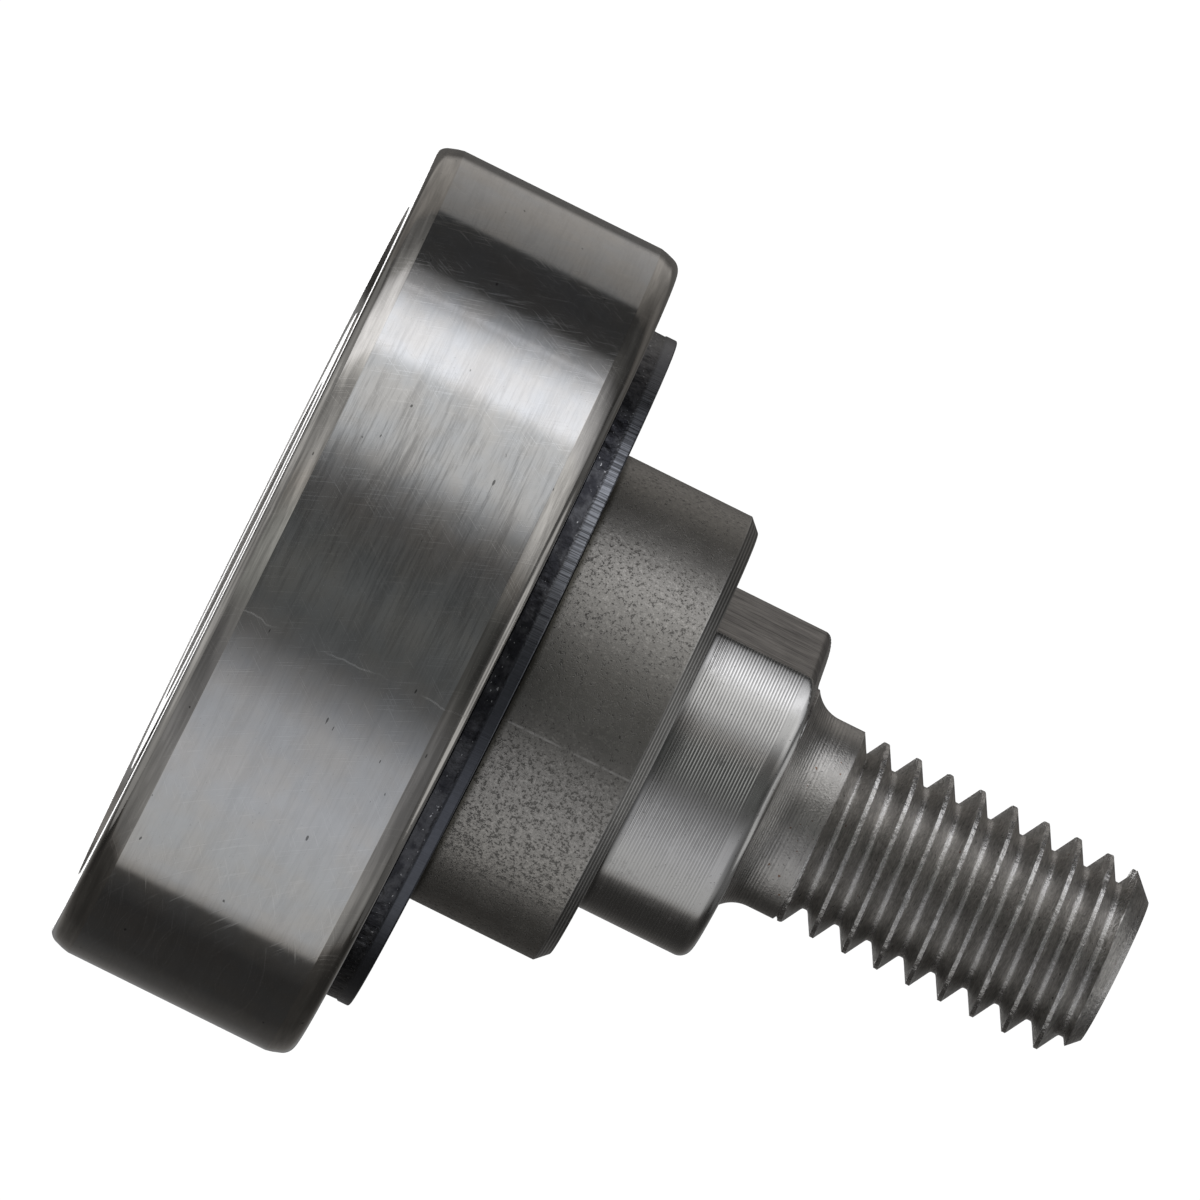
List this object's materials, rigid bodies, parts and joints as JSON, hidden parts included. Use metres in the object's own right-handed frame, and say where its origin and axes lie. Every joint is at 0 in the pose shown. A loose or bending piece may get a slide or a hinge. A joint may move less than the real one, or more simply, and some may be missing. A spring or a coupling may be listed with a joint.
{
  "type": "cam follower",
  "caption": "Stud-type cam follower: sealed ball-bearing track roller with a flange washer, on a stepped stud with a locating flat and a threaded end.",
  "frame": {"origin": "centre of the collar's seat face, where the spigot starts", "axes": "+X along the stud towards its thread, +Z the outward normal of the locating flat on the spigot"},
  "size_m": [0.0272, 0.025, 0.025],
  "materials": {
    "tread_steel": "ground and polished",
    "stud_steel": "turned, the collar tumbled matt",
    "washer_steel": "blue-black with a burnished punched edge",
    "ring_steel": "ground",
    "seal_rubber": "moulded",
    "core_steel": "pressed sheet",
    "cage_steel": "pressed sheet",
    "ball_steel": "polished"
  },
  "bodies": {
    "stud_body": {"stud": "stud_steel", "flange_washer": "washer_steel", "inner_ring": "ring_steel"},
    "roller": {"outer_ring": "tread_steel", "front_seal_lip": "seal_rubber", "front_seal_core": "core_steel", "rear_seal_lip": "seal_rubber", "rear_seal_core": "core_steel"},
    "cage": {"cage_front_half": "cage_steel", "cage_rear_half": "cage_steel", "cage_rivets": "core_steel"},
    "ball_1": {"ball_1": "ball_steel"},
    "ball_2": {"ball_2": "ball_steel"},
    "ball_3": {"ball_3": "ball_steel"},
    "ball_4": {"ball_4": "ball_steel"},
    "ball_5": {"ball_5": "ball_steel"},
    "ball_6": {"ball_6": "ball_steel"},
    "ball_7": {"ball_7": "ball_steel"},
    "ball_8": {"ball_8": "ball_steel"},
    "ball_9": {"ball_9": "ball_steel"}
  },
  "joints": [
    {"name": "roller_spin", "type": "hinge", "parent": "stud_body", "child": "roller", "pos_m": [-0.00903, 0, 0], "axis": [1, 0, 0], "continuous": true},
    {"name": "cage_orbit", "type": "hinge", "parent": "stud_body", "child": "cage", "pos_m": [-0.00903, 0, 0], "axis": [1, 0, 0], "continuous": true},
    {"name": "ball_1_spin", "type": "hinge", "parent": "cage", "child": "ball_1", "pos_m": [-0.00903, 0, 0.0085], "axis": [1, 0, 0], "continuous": true},
    {"name": "ball_2_spin", "type": "hinge", "parent": "cage", "child": "ball_2", "pos_m": [-0.00903, -0.00546, 0.00651], "axis": [1, 0, 0], "continuous": true},
    {"name": "ball_3_spin", "type": "hinge", "parent": "cage", "child": "ball_3", "pos_m": [-0.00903, -0.00837, 0.00148], "axis": [1, 0, 0], "continuous": true},
    {"name": "ball_4_spin", "type": "hinge", "parent": "cage", "child": "ball_4", "pos_m": [-0.00903, -0.00736, -0.00425], "axis": [1, 0, 0], "continuous": true},
    {"name": "ball_5_spin", "type": "hinge", "parent": "cage", "child": "ball_5", "pos_m": [-0.00903, -0.00291, -0.00799], "axis": [1, 0, 0], "continuous": true},
    {"name": "ball_6_spin", "type": "hinge", "parent": "cage", "child": "ball_6", "pos_m": [-0.00903, 0.00291, -0.00799], "axis": [1, 0, 0], "continuous": true},
    {"name": "ball_7_spin", "type": "hinge", "parent": "cage", "child": "ball_7", "pos_m": [-0.00903, 0.00736, -0.00425], "axis": [1, 0, 0], "continuous": true},
    {"name": "ball_8_spin", "type": "hinge", "parent": "cage", "child": "ball_8", "pos_m": [-0.00903, 0.00837, 0.00148], "axis": [1, 0, 0], "continuous": true},
    {"name": "ball_9_spin", "type": "hinge", "parent": "cage", "child": "ball_9", "pos_m": [-0.00903, 0.00546, 0.00651], "axis": [1, 0, 0], "continuous": true}
  ],
  "couplings": [
    {"joint": "cage_orbit", "follows": "roller_spin", "ratio": 0.608},
    {"joint": "ball_1_spin", "follows": "roller_spin", "ratio": 2.2685},
    {"joint": "ball_2_spin", "follows": "roller_spin", "ratio": 2.2685},
    {"joint": "ball_3_spin", "follows": "roller_spin", "ratio": 2.2685},
    {"joint": "ball_4_spin", "follows": "roller_spin", "ratio": 2.2685},
    {"joint": "ball_5_spin", "follows": "roller_spin", "ratio": 2.2685},
    {"joint": "ball_6_spin", "follows": "roller_spin", "ratio": 2.2685},
    {"joint": "ball_7_spin", "follows": "roller_spin", "ratio": 2.2685},
    {"joint": "ball_8_spin", "follows": "roller_spin", "ratio": 2.2685},
    {"joint": "ball_9_spin", "follows": "roller_spin", "ratio": 2.2685}
  ]
}
